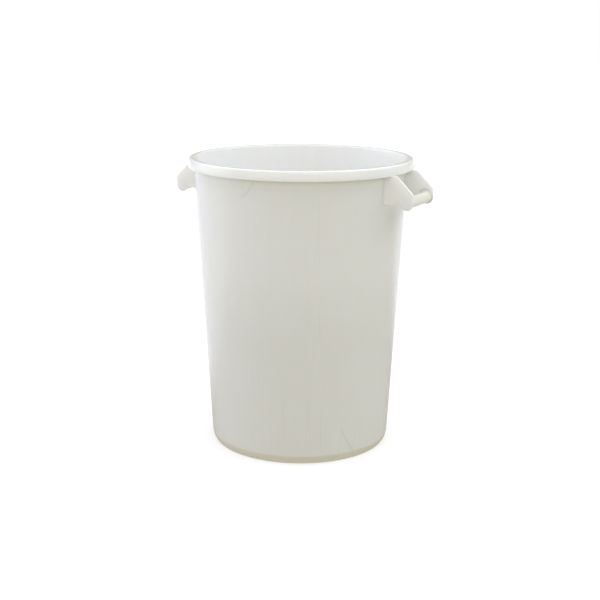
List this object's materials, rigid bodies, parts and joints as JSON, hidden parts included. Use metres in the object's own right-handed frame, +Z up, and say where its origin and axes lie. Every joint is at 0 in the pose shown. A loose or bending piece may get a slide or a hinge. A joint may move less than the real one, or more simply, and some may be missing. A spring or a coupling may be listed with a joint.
{
  "type": "plastic open head drum",
  "caption": "Tapered round open head drum in natural plastic, with a turned-down rim and a lifting handle with a round grip on each side.",
  "frame": {"origin": "centre of the base, on the ground that the drum stands on", "axes": "+Z up along the drum's axis, +X through the middle of the right handle, +Y to the rear"},
  "size_m": [0.5916, 0.5056, 0.654],
  "materials": {
    "natural_polyethylene": "injection moulded, satin, slightly translucent",
    "grip_polyethylene": "injection moulded, smooth satin, slightly translucent"
  },
  "bodies": {
    "root": {"drum_body": "natural_polyethylene", "right_front_ear": "natural_polyethylene", "right_rear_ear": "natural_polyethylene", "left_front_ear": "natural_polyethylene", "left_rear_ear": "natural_polyethylene", "right_grip": "grip_polyethylene", "left_grip": "grip_polyethylene"}
  },
  "joints": []
}
